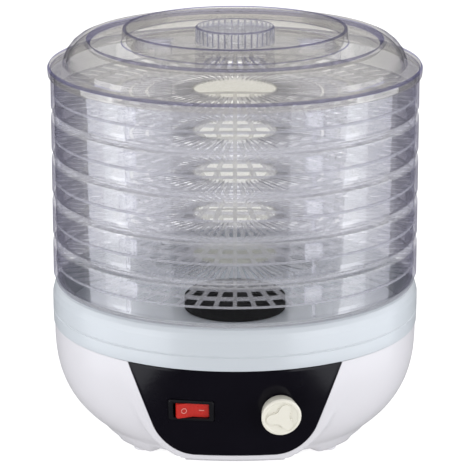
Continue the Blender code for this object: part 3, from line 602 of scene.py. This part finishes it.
def lid():
    """The domed lid with its rim, its ring groove and the raised collar round the vent."""
    wall = LID_WALL
    outside = [(COLLAR_R - 0.0022, COLLAR_TOP_Z), (COLLAR_R, COLLAR_TOP_Z - 0.0006)]
    outside += [(COLLAR_R + 0.0006, LID_FLOOR_Z + 0.0004), (0.0980, LID_FLOOR_Z)]
    outside += [(0.1003, LID_CREST_Z - 0.0004), (0.1030, LID_CREST_Z), (0.1068, 0.2736)]
    outside += [(0.1105, 0.2706), (0.1142, 0.2658), (0.1160, 0.2612), (0.1166, LID_RIM_Z)]
    outside += [(LID_R - 0.0010, LID_RIM_Z), (LID_R, LID_RIM_Z - 0.0018)]
    outside += [(LID_R - 0.0003, LID_SKIRT_Z)]
    inside = [(TRAY_R + 0.0003, LID_SKIRT_Z), (TRAY_R + 0.0003, LID_RIM_Z - wall)]
    inside += [(0.1146, LID_RIM_Z - wall), (0.1140, 0.2608), (0.1123, 0.2648), (0.1090, 0.2688)]
    inside += [(0.1056, 0.2716), (0.1024, LID_CREST_Z - wall)]
    inside += [(0.0994, LID_FLOOR_Z - wall), (LID_HOLE_R, LID_FLOOR_Z - wall)]
    inside += [(LID_HOLE_R, LID_FLOOR_Z), (COLLAR_R - 0.0026, LID_FLOOR_Z)]
    inside += [(COLLAR_R - 0.0022, LID_FLOOR_Z + 0.0006)]
    mesh = turned("lid_clear", filleted(outside + inside, 0.0007), 180)
    obj = link("lid_clear", mesh, LID, "lid")
    cut(obj, vent_slots(LID_FLOOR_Z - 0.006, LID_FLOOR_Z + 0.003))
    shade(obj.data)
    paint(obj.data, LID_FLAT, lambda r, z, n: (
        r < COLLAR_R + 0.0016 or (r < 0.0985 and z < LID_FLOOR_Z + 0.0006)))
    # painted shade: the vent slots' upright walls take the dark slot finish
    paint(obj.data, SLOT_SHADE, lambda r, z, n: abs(n.z) < 0.5 and 0.040 < r < 0.070)
    # painted shade: dark lines on the collar top, rim corner, crest step and collar foot
    paint(obj.data, LID_EDGE_SHADE, lambda r, z, n: (
        z > COLLAR_TOP_Z - 0.0010
        or (r > LID_R - 0.0026 and z > LID_RIM_Z - 0.0022)
        or (0.0978 < r < 0.1012 and z > LID_FLOOR_Z - 0.0002)
        or (abs(r - COLLAR_R) < 0.0016 and abs(z - LID_FLOOR_Z - 0.0004) < 0.0014)))
    for node in ("lid", "lid_plate", "lid_collar"):
        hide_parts(node)


def vent():
    """The knob with its finger ribs, and the shutter disc under the lid that turns with it."""
    base, top, under = LID_FLOOR_Z + GAP, KNOB_TOP_Z, LID_FLOOR_Z - 0.0025
    rib_count, rib_depth = 36, 0.0013
    wall, boss_r = 0.0022, LID_HOLE_R - 0.0005

    def ribbed(angle, r, z):
        if r < KNOB_R - 0.0012:
            return r
        fade = blend(top - 0.0004, top - 0.0022, z)
        return r - rib_depth * (0.5 - 0.5 * math.cos(rib_count * angle)) * fade

    outline = [(0, top - 0.0006), (0.0190, top - 0.0006), (0.0205, top), (KNOB_R - 0.0012, top)]
    outline += [(KNOB_R, top - 0.0012), (KNOB_R, base), (KNOB_R - wall, base)]
    outline += [(KNOB_R - wall, top - 0.0024), (boss_r, top - 0.0024)]
    outline += [(boss_r, under), (0, under)]
    mesh = turned("vent_knob_clear", filleted(outline, 0.0004, closed=False), 288, ribbed)
    knob = link("vent_knob_clear", mesh, KNOB, "vent")
    # painted shade: dark lines in the valleys between the knob's ribs
    paint(knob.data, RIB_SHADE, lambda r, z, n: (
        KNOB_R - 0.0016 < r < KNOB_R - 0.0009 and abs(n.z) < 0.5 and z < top - 0.0016))
    # painted shade: a dark ring round the knob's top edge
    paint(knob.data, LID_EDGE_SHADE, lambda r, z, n: r > KNOB_R - 0.0014 and z > top - 0.0010)
    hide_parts("vent_knob")
    high_z = high("vent_shutter").z
    radius = high("vent_shutter").x
    disc = [(0, high_z), (radius - 0.0004, high_z), (radius, high_z - 0.0004)]
    disc += [(radius, high_z - 0.0010), (radius - 0.0004, high_z - 0.0014), (0, high_z - 0.0014)]
    plate = link("vent_shutter_clear", turned("vent_shutter_clear", disc, 120), LID_FLAT, "vent")
    cut(plate, vent_slots(high_z - 0.006, high_z + 0.003))
    shade(plate.data)
    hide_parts("vent_shutter")


# ---- base ----------------------------------------------------------------------------------

HOUSING_R = 0.1253
RING_BOTTOM_Z = 0.0783
DECK_Z = 0.0840
DECK_THICK = 0.0025
SHELL = 0.0025
UNDERSIDE_Z = 0.0090
MOUTH_R = 0.0720
FOOT_ANGLE = math.radians(50)
FOOT_PAD = 0.0020
PANEL_TOP_Z = 0.0780
PANEL_BOTTOM_Z = 0.0172
PANEL_TOP_HALF = 0.0704
PANEL_SIDE_SLOPE = 0.39
PANEL_CORNER = 0.0190
PANEL_THICK = 0.0034
APRON = 0.0048
APRON_LIFT = 0.0020
FRONT_BOTTOM_Y = 0.1145
CONTROL_AZIMUTH = math.radians(8)
CONTROL_TILT = math.radians(8)
SWITCH_AT = (-0.0287, 0.0494)
KNOB_AT = (0.0290, 0.0496)
SWITCH_SEAT = 0.0016
ROCKER_TILT = math.radians(11)
ROCKER_PIVOT = 0.0035
CAP_R = high("outlet_cap").x
CAP_TOP_Z = high("outlet_cap").z


def body_radius(z):
    """The housing's radius away from the front, from its full round foot to the ring."""
    foot_r, reach = 0.0755, 0.0754
    drop = min(max((RING_BOTTOM_Z - z) / reach, 0.0), 1.0)
    return foot_r + (HOUSING_R - 0.0007 - foot_r) * (1 - drop**2.72) ** (1 / 1.44)


def front_y(x, z):
    """How far forward the flatter front is at this place, for the panel and the shell round it."""
    fall = RING_BOTTOM_Z - z
    centre = HOUSING_R - 0.0007
    centre -= fall * (centre - FRONT_BOTTOM_Y) / (RING_BOTTOM_Z - 0.012)
    crown = HOUSING_R + 0.9 * max(fall, 0.0)
    return centre - crown + math.sqrt(max(crown**2 - x**2, 0.0))


def panel_half_width(z, border=0.0):
    """Half the panel's width at this height, with its round lower corners."""
    half = PANEL_TOP_HALF + border - (PANEL_TOP_Z - z) * PANEL_SIDE_SLOPE
    corner = PANEL_CORNER + border
    up = z - PANEL_BOTTOM_Z + border
    if up < corner:
        t = 1 - max(up, 0.0) / corner
        half -= corner * (1 - math.sqrt(1 - t * t))
    return half


def foot_share(angle):
    """How much of a foot lobe is at this angle round from the front, 0 to 1."""
    off = min(abs(abs(angle) - FOOT_ANGLE), abs(abs(angle) - math.pi + FOOT_ANGLE))
    return 1 - blend(math.radians(8), math.radians(20), off)


def housing_radius(angle, z):
    """The housing's radius: the round body, blended into the flatter front by the panel."""
    round_r = body_radius(z)
    if abs(angle) > math.radians(48):
        return round_r
    reach = round_r
    for _ in range(6):
        reach = front_y(reach * math.sin(angle), z) / math.cos(angle)
    edge = panel_half_width(max(z, PANEL_BOTTOM_Z - 0.8 * APRON), APRON)
    share = 1 - blend(edge, edge + 0.010, abs(reach * math.sin(angle)))
    return round_r + (reach - round_r) * share


def grid(name, rows, closed=False):
    """A sheet through rows of points; closed joins the ends of each row."""
    bm = bmesh.new()
    made = [[bm.verts.new(point) for point in row] for row in rows]
    for one, two in zip(made, made[1:]):
        for i in range(len(one) if closed else len(one) - 1):
            j = (i + 1) % len(one)
            bm.faces.new((one[i], one[j], two[j], two[i]))
    return mesh_of(name, bm)


def thickened(name, mesh, thickness, offset=-1.0):
    obj = loose(name, mesh)
    solid = obj.modifiers.new("Thickness", "SOLIDIFY")
    solid.thickness = thickness
    solid.offset = offset
    solid.use_even_offset = True
    apply_modifiers(obj)
    return obj


def housing_rows():
    """Rings of points down the housing, round its foot and in to the mouth of the underside."""
    columns = 240
    angles = [2 * math.pi * i / columns - math.pi for i in range(columns)]
    steps = 30
    rows = []
    for i in range(steps + 1):
        t = i / steps
        z = RING_BOTTOM_Z + (0.0140 - RING_BOTTOM_Z) * (1 - (1 - t) ** 1.25)
        rows.append([(housing_radius(a, z), a, z) for a in angles])
    under = UNDERSIDE_Z - FOOT_PAD - GAP
    lift = [APRON_LIFT * (1 - blend(math.radians(14), math.radians(30), abs(a))) for a in angles]
    for z, back in ((0.0118, 0.0006), (0.0103, 0.0020)):
        rows.append([(housing_radius(a, 0.0125) - back, a, z + up) for a, up in zip(angles, lift)])
    for share, radius in ((0.12, 0.0940), (0.5, 0.0915), (0.86, 0.0900), (1, 0.0885), (1, 0.0765),
                          (0.0, MOUTH_R)):
        rows.append([(radius, a, UNDERSIDE_Z - share * under * foot_share(a)) for a in angles])
    return [[(r * math.sin(a), -r * math.cos(a), z) for r, a, z in row] for row in rows]


def panel_rows(grow):
    """The panel's face, grown sideways."""
    columns, height_steps = 64, 24
    bottom, top = PANEL_BOTTOM_Z - grow, PANEL_TOP_Z + (0.002 if grow else 0.0)
    corner = [bottom + PANEL_CORNER * (1 - math.cos(math.radians(7.5 * i))) for i in range(13)]
    side = [corner[-1] + (top - corner[-1]) * i / height_steps for i in range(1, height_steps + 1)]
    rows = []
    for z in reversed(corner + side):
        half = panel_half_width(max(z + grow / 2, PANEL_BOTTOM_Z)) + grow
        xs = [half * (2 * i / columns - 1) for i in range(columns + 1)]
        rows.append([(x, -front_y(x, z), z) for x in xs])
    return rows


def lower_housing():
    shell = thickened("housing_white", grid("housing_white", housing_rows(), closed=True), SHELL)
    window = thickened("window", grid("window", panel_rows(GAP)), 4 * PANEL_THICK, offset=0.0)
    cut(shell, window)
    soften(shell, 0.0006, 3, 55)
    apply_modifiers(shell)
    shade(shell.data, 40)
    dress(shell.data, WHITE)
    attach(shell, "base")
    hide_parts("lower_housing")


def control_frame(spot, depth=0.0):
    """Axes of a control on the panel: X right, Y into the panel and Z up."""
    x, z = spot
    turn = Euler((CONTROL_TILT, 0, math.copysign(CONTROL_AZIMUTH, x)), "XYZ").to_matrix()
    centre = Matrix.Translation((x, -front_y(x, z), z)) @ turn.to_4x4()
    return centre @ Matrix.Translation((0, depth, 0))


def outward(place):
    """The same frame with its Z along the control's axis, pointing out of the panel."""
    return place @ Matrix.Rotation(math.radians(90), 4, "X")


def control_panel():
    panel = thickened("panel_black", grid("panel_black", panel_rows(0.0)), PANEL_THICK)
    facing = outward(control_frame(SWITCH_AT, SWITCH_SEAT))
    seat = prism("seat", rounded_rectangle(0.0309, 0.0150, 0.0014), 0.0, 0.012)
    hole = prism("hole", rounded_rectangle(0.0276, 0.0130, 0.0006), -0.012, 0.004)
    cut(panel, loose("seat", moved(seat, facing)))
    cut(panel, loose("hole", moved(hole, facing)))
    bush = prism("bush", circle(0.0046, 48), -0.012, 0.012)
    cut(panel, loose("bush", moved(bush, outward(control_frame(KNOB_AT)))))
    soften(panel, 0.0004, 2, 55)
    apply_modifiers(panel)
    shade(panel.data, 40)
    dress(panel.data, BLACK)
    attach(panel, "base")
    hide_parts("control_panel")


def bezel():
    """The switch's rounded frame, standing a little out of the panel."""
    facing = outward(control_frame(SWITCH_AT, SWITCH_SEAT))
    frame_mesh = prism("bezel_black", rounded_rectangle(0.0303, 0.0144, 0.0016), GAP, 0.0026,
                       bevel=0.0006, segments=3)
    obj = loose("bezel_black", moved(frame_mesh, facing))
    hole = prism("hole", rounded_rectangle(0.0240, 0.0108, 0.0006), -0.004, 0.006)
    cut(obj, loose("hole", moved(hole, facing)))
    shade(obj.data)
    dress(obj.data, BEZEL)
    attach(obj, "base")
    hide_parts("switch_bezel")


def rocker():
    """The red rocker: a shallow V in plan, pressed in at its right end, with two marks."""
    pivot = control_frame(SWITCH_AT, SWITCH_SEAT) @ Matrix.Translation((0, ROCKER_PIVOT, 0))
    place = pivot @ Matrix.Rotation(math.pi, 4, "X") @ Matrix.Rotation(-ROCKER_TILT, 4, "Z")
    half, wing, valley, wing_rise = 0.0051, 0.0106, 0.0008, 0.0018
    top = []
    count = 16
    for i in range(count + 1):
        x = -wing + 2 * wing * i / count
        top.append((x, valley + wing_rise * (abs(x) / wing) ** 1.15))
    outline = [*top, (0.0112, 0), (0.0095, -0.0045), (-0.0095, -0.0045), (-0.0112, 0)]
    outline = [(x, y + ROCKER_PIVOT) for x, y in filleted(outline, 0.0003, steps=2)]
    body = prism("rocker_red", outline, -half, half, bevel=0.0004, segments=3)
    obj = link("rocker_red", moved(body, place), RED, "switch_rocker")
    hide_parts("rocker")
    proud, thick = 0.00012, 0.0003
    rise = math.atan2(wing_rise, wing)

    def on_wing(side, mesh):
        """Lays a mark, drawn in X and Y, on one wing of the rocker's face."""
        height = valley + wing_rise * 0.5 + ROCKER_PIVOT + proud
        at = Matrix.Translation((side * 0.0058, height, 0))
        lie = Matrix.Rotation(math.radians(-90), 4, "X")
        return moved(mesh, place @ at @ Matrix.Rotation(side * rise, 4, "Z") @ lie)

    ring_outline = [(0.0015, 0.0), (0.0015, thick), (0.0019, thick), (0.0019, 0.0)]
    ring = turned("ring", filleted(ring_outline, 0.0001), 40)
    bar = prism("bar", rounded_rectangle(0.0036, 0.0005, 0.0002, steps=3), 0.0, thick, 0.0001)
    marks = link("rocker_marks", joined("rocker_marks", on_wing(-1, ring), on_wing(1, bar)), MARK,
                 "switch_rocker")


def dial():
    """The thermostat's knob: a rim, a recessed face, and a three-lobed grip raised on it."""
    facing = outward(control_frame(KNOB_AT))
    knob_r = 0.0132
    base, face, rim, top = 0.0014, 0.0106, 0.0112, 0.0117
    outline = [(0, face), (knob_r - 0.0028, face), (knob_r - 0.0020, rim)]
    outline += [(knob_r - 0.0008, rim), (knob_r, rim - 0.0012)]
    outline += [(knob_r - 0.0014, base), (knob_r - 0.0024, base), (knob_r - 0.0024, 0.0076)]
    outline += [(0.0052, 0.0076), (0.0052, 0.0034), (0.0029, 0.0034), (0.0029, 0.0095)]
    outline += [(0, 0.0095)]
    body = turned("dial_body", filleted(outline, 0.0004, closed=False), 120)
    lobes = []
    lobe_r, lobe_swell, lobe_turn = 0.0084, 0.0026, math.radians(68)
    steps = 72
    for i in range(steps):
        a = 2 * math.pi * i / steps
        reach = lobe_r + lobe_swell * math.cos(3 * (a - lobe_turn))
        lobes.append((reach * math.cos(a), reach * math.sin(a)))
    grip = prism("grip", lobes, face - 0.0010, top, bevel=0.0009, segments=4)
    obj = link("dial_ivory", moved(joined("dial_ivory", body, grip), facing), IVORY, "dial")
    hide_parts("temperature_knob")


def base_ring():
    """The pale ring with its top lip and the groove round its middle, and the deck inside it."""
    low_z, top = RING_BOTTOM_Z + GAP, TRAY_Z - GAP
    under = DECK_Z - DECK_THICK
    hole, deck_r = CAP_R - 0.0025, high("deck").x
    ring_r, lip_r = 0.1256, 0.1182
    outline = [(0.1190, top), (0.1214, top), (0.1232, top - 0.0014), (0.1246, 0.1030)]
    outline += [(ring_r, 0.0990), (ring_r, 0.0890), (0.1249, 0.0882), (ring_r, 0.0874)]
    outline += [(HOUSING_R, low_z), (0.1228, low_z), (0.1228, under), (0.1199, under)]
    outline += [(0.1199, 0.0745), (lip_r, 0.0745), (lip_r, under - 0.0030)]
    outline += [(deck_r - 0.0024, under - GAP), (lip_r, under - GAP), (lip_r, DECK_Z + 0.0030)]
    obj = link("ring_pale", turned("ring_pale", filleted(outline, 0.0006), 180), PALE, "base")
    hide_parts("base_ring")
    outline = [(hole, DECK_Z), (deck_r, DECK_Z), (deck_r, under), (hole, under)]
    # painted light: the deck takes the lighter copy of the housing's white
    obj = link("deck_pale", turned("deck_pale", filleted(outline, 0.0004), 180), DECK_PAINTED_LIGHT, "base")
    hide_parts("deck")


def outlet_cap():
    """The black cap in the middle of the deck, with slots in its top."""
    low_z, wall, inner_top = DECK_Z + GAP, 0.0020, CAP_TOP_Z - 0.0026
    slot_count, slot_size, slot_corner, slot_r = 18, (0.0030, 0.0160), 0.0014, 0.0215
    outline = [(0, CAP_TOP_Z), (CAP_R - 0.0022, CAP_TOP_Z), (CAP_R, CAP_TOP_Z - 0.0022)]
    outline += [(CAP_R, low_z), (CAP_R - wall, low_z), (CAP_R - wall, inner_top), (0, inner_top)]
    obj = link("cap_black", turned("cap_black", filleted(outline, 0.0012, closed=False), 96),
               MATT_BLACK, "base")
    turns = [2 * math.pi * i / slot_count for i in range(slot_count)]
    cut(obj, radial_slots(turns, slot_size, slot_corner, slot_r, CAP_TOP_Z - 0.006,
                          CAP_TOP_Z + 0.003))
    shade(obj.data)
    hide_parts("outlet_cap")


def feet():
    for i in range(1, 5):
        name = f"foot_{i}"
        lowest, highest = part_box(name)
        centre = (lowest + highest) / 2
        r = (highest.x - lowest.x) / 2
        outline = [(0, highest.z), (r - 0.0004, highest.z), (r, 0.0008), (r - 0.0006, 0.0)]
        outline += [(0, 0.0)]
        pad = turned(f"{name}_pad", filleted(outline, 0.0004, closed=False), 48)
        moved(pad, Matrix.Translation((centre.x, centre.y, 0)))
        obj = link(f"{name}_pad", pad, FOOT_RUBBER, "base")
        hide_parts(name)


# ---- stage ---------------------------------------------------------------------------------

# how bright the room looks in reflections, low down and high up
ROOM_LOW, ROOM_HIGH = 0.08, 0.75
SOFT_BLUE = (0.93, 0.95, 1.0)
# how far off the softboxes stand, how high their middles are, and how tall each is
BOX_REACH, BOX_Z, BOX_HEIGHT = 0.60, 0.075, 0.45
# where each starts and ends, in degrees round from the front, and its radiance
SOFTBOXES = ((-36, -64, 3.0), (-64, -84, 2.1), (-84, -99, 1.6),
             (31, 60, 2.9), (60, 85, 1.9), (85, 109, 1.3))
# the camera that was fitted to the photograph
CAMERA_AT = (0, -1.8694, 0.6592)
CAMERA_DOWN = math.radians(15.63)
CAMERA_LENS = 215.9


def area_light(name, place, aim, size, power):
    light = bpy.data.lights.new(name, "AREA")
    light.shape = "RECTANGLE"
    light.size, light.size_y = size
    light.energy = power
    light.color = SOFT_BLUE
    obj = bpy.data.objects.new(name, light)
    bpy.context.scene.collection.objects.link(obj)
    obj.location = place
    obj.rotation_euler = (Vector(aim) - Vector(place)).to_track_quat("-Z", "Y").to_euler()
    obj.visible_camera = False


def stage():
    """A pale floor, a white room that darkens low down in reflections, and the lamps."""
    floor_look = Look("pale_floor")
    floor_look.shader.inputs["Roughness"].default_value = 0.9
    floor_look.shader.inputs["Base Color"].default_value = (0.50, 0.50, 0.50, 1)
    floor_look.shader.inputs["Specular IOR Level"].default_value = 0.0
    floor_look.shader.inputs["Emission Color"].default_value = (1, 1, 1, 1)
    floor_look.shader.inputs["Emission Strength"].default_value = 0.75
    bm = bmesh.new()
    bmesh.ops.create_grid(bm, x_segments=1, y_segments=1, size=9.0)
    floor = loose("floor", mesh_of("floor", bm))
    floor.data.materials.append(floor_look.material)
    floor.visible_glossy = False
    world = bpy.data.worlds.new("studio")
    bpy.context.scene.world = world
    world.use_nodes = True
    nodes, links = world.node_tree.nodes, world.node_tree.links
    room = nodes["Background"]
    room.inputs["Strength"].default_value = 1.0
    where = nodes.new("ShaderNodeTexCoord")
    split = nodes.new("ShaderNodeSeparateXYZ")
    height = nodes.new("ShaderNodeMapRange")
    height.inputs["From Min"].default_value = -0.10
    height.inputs["From Max"].default_value = 0.15
    height.inputs["To Min"].default_value = ROOM_LOW
    height.inputs["To Max"].default_value = ROOM_HIGH
    links.new(where.outputs["Generated"], split.inputs["Vector"])
    links.new(split.outputs["Z"], height.inputs["Value"])
    links.new(height.outputs["Result"], room.inputs["Color"])
    paper = nodes.new("ShaderNodeBackground")
    paper.inputs["Color"].default_value = (1.0, 1.0, 1.0, 1)
    seen = nodes.new("ShaderNodeLightPath")
    mixed = nodes.new("ShaderNodeMixShader")
    links.new(seen.outputs["Is Camera Ray"], mixed.inputs["Fac"])
    links.new(room.outputs["Background"], mixed.inputs[1])
    links.new(paper.outputs["Background"], mixed.inputs[2])
    links.new(mixed.outputs["Shader"], nodes["World Output"].inputs["Surface"])
    for first, last, radiance in SOFTBOXES:
        middle = math.radians((first + last) / 2)
        width = 2 * BOX_REACH * math.tan(math.radians(abs(last - first) / 2))
        place = (BOX_REACH * math.sin(middle), -BOX_REACH * math.cos(middle), BOX_Z)
        area_light(f"softbox_{first}", place, (0, 0, BOX_Z), (width, BOX_HEIGHT),
                   radiance * math.pi * width * BOX_HEIGHT)
    area_light("top_softbox", (0, -0.5, 1.5), (0, 0, 0.1), (1.6, 1.2), 2.0)


def camera():
    data = bpy.data.cameras.new("camera")
    data.sensor_width = 36.0
    data.lens = CAMERA_LENS
    obj = bpy.data.objects.new("camera", data)
    bpy.context.scene.collection.objects.link(obj)
    obj.location = CAMERA_AT
    obj.rotation_euler = (math.radians(90) - CAMERA_DOWN, 0, 0)
    data.clip_end = 50.0
    bpy.context.scene.camera = obj


def render_settings():
    scene = bpy.context.scene
    scene.view_settings.view_transform = "Standard"
    scene.cycles.max_bounces = 24
    scene.cycles.diffuse_bounces = 4
    scene.cycles.glossy_bounces = 6
    scene.cycles.transparent_max_bounces = 96


finish_cad_nodes()
trays()
lid()
vent()
base_ring()
lower_housing()
control_panel()
bezel()
rocker()
dial()
outlet_cap()
feet()
stage()
camera()
render_settings()
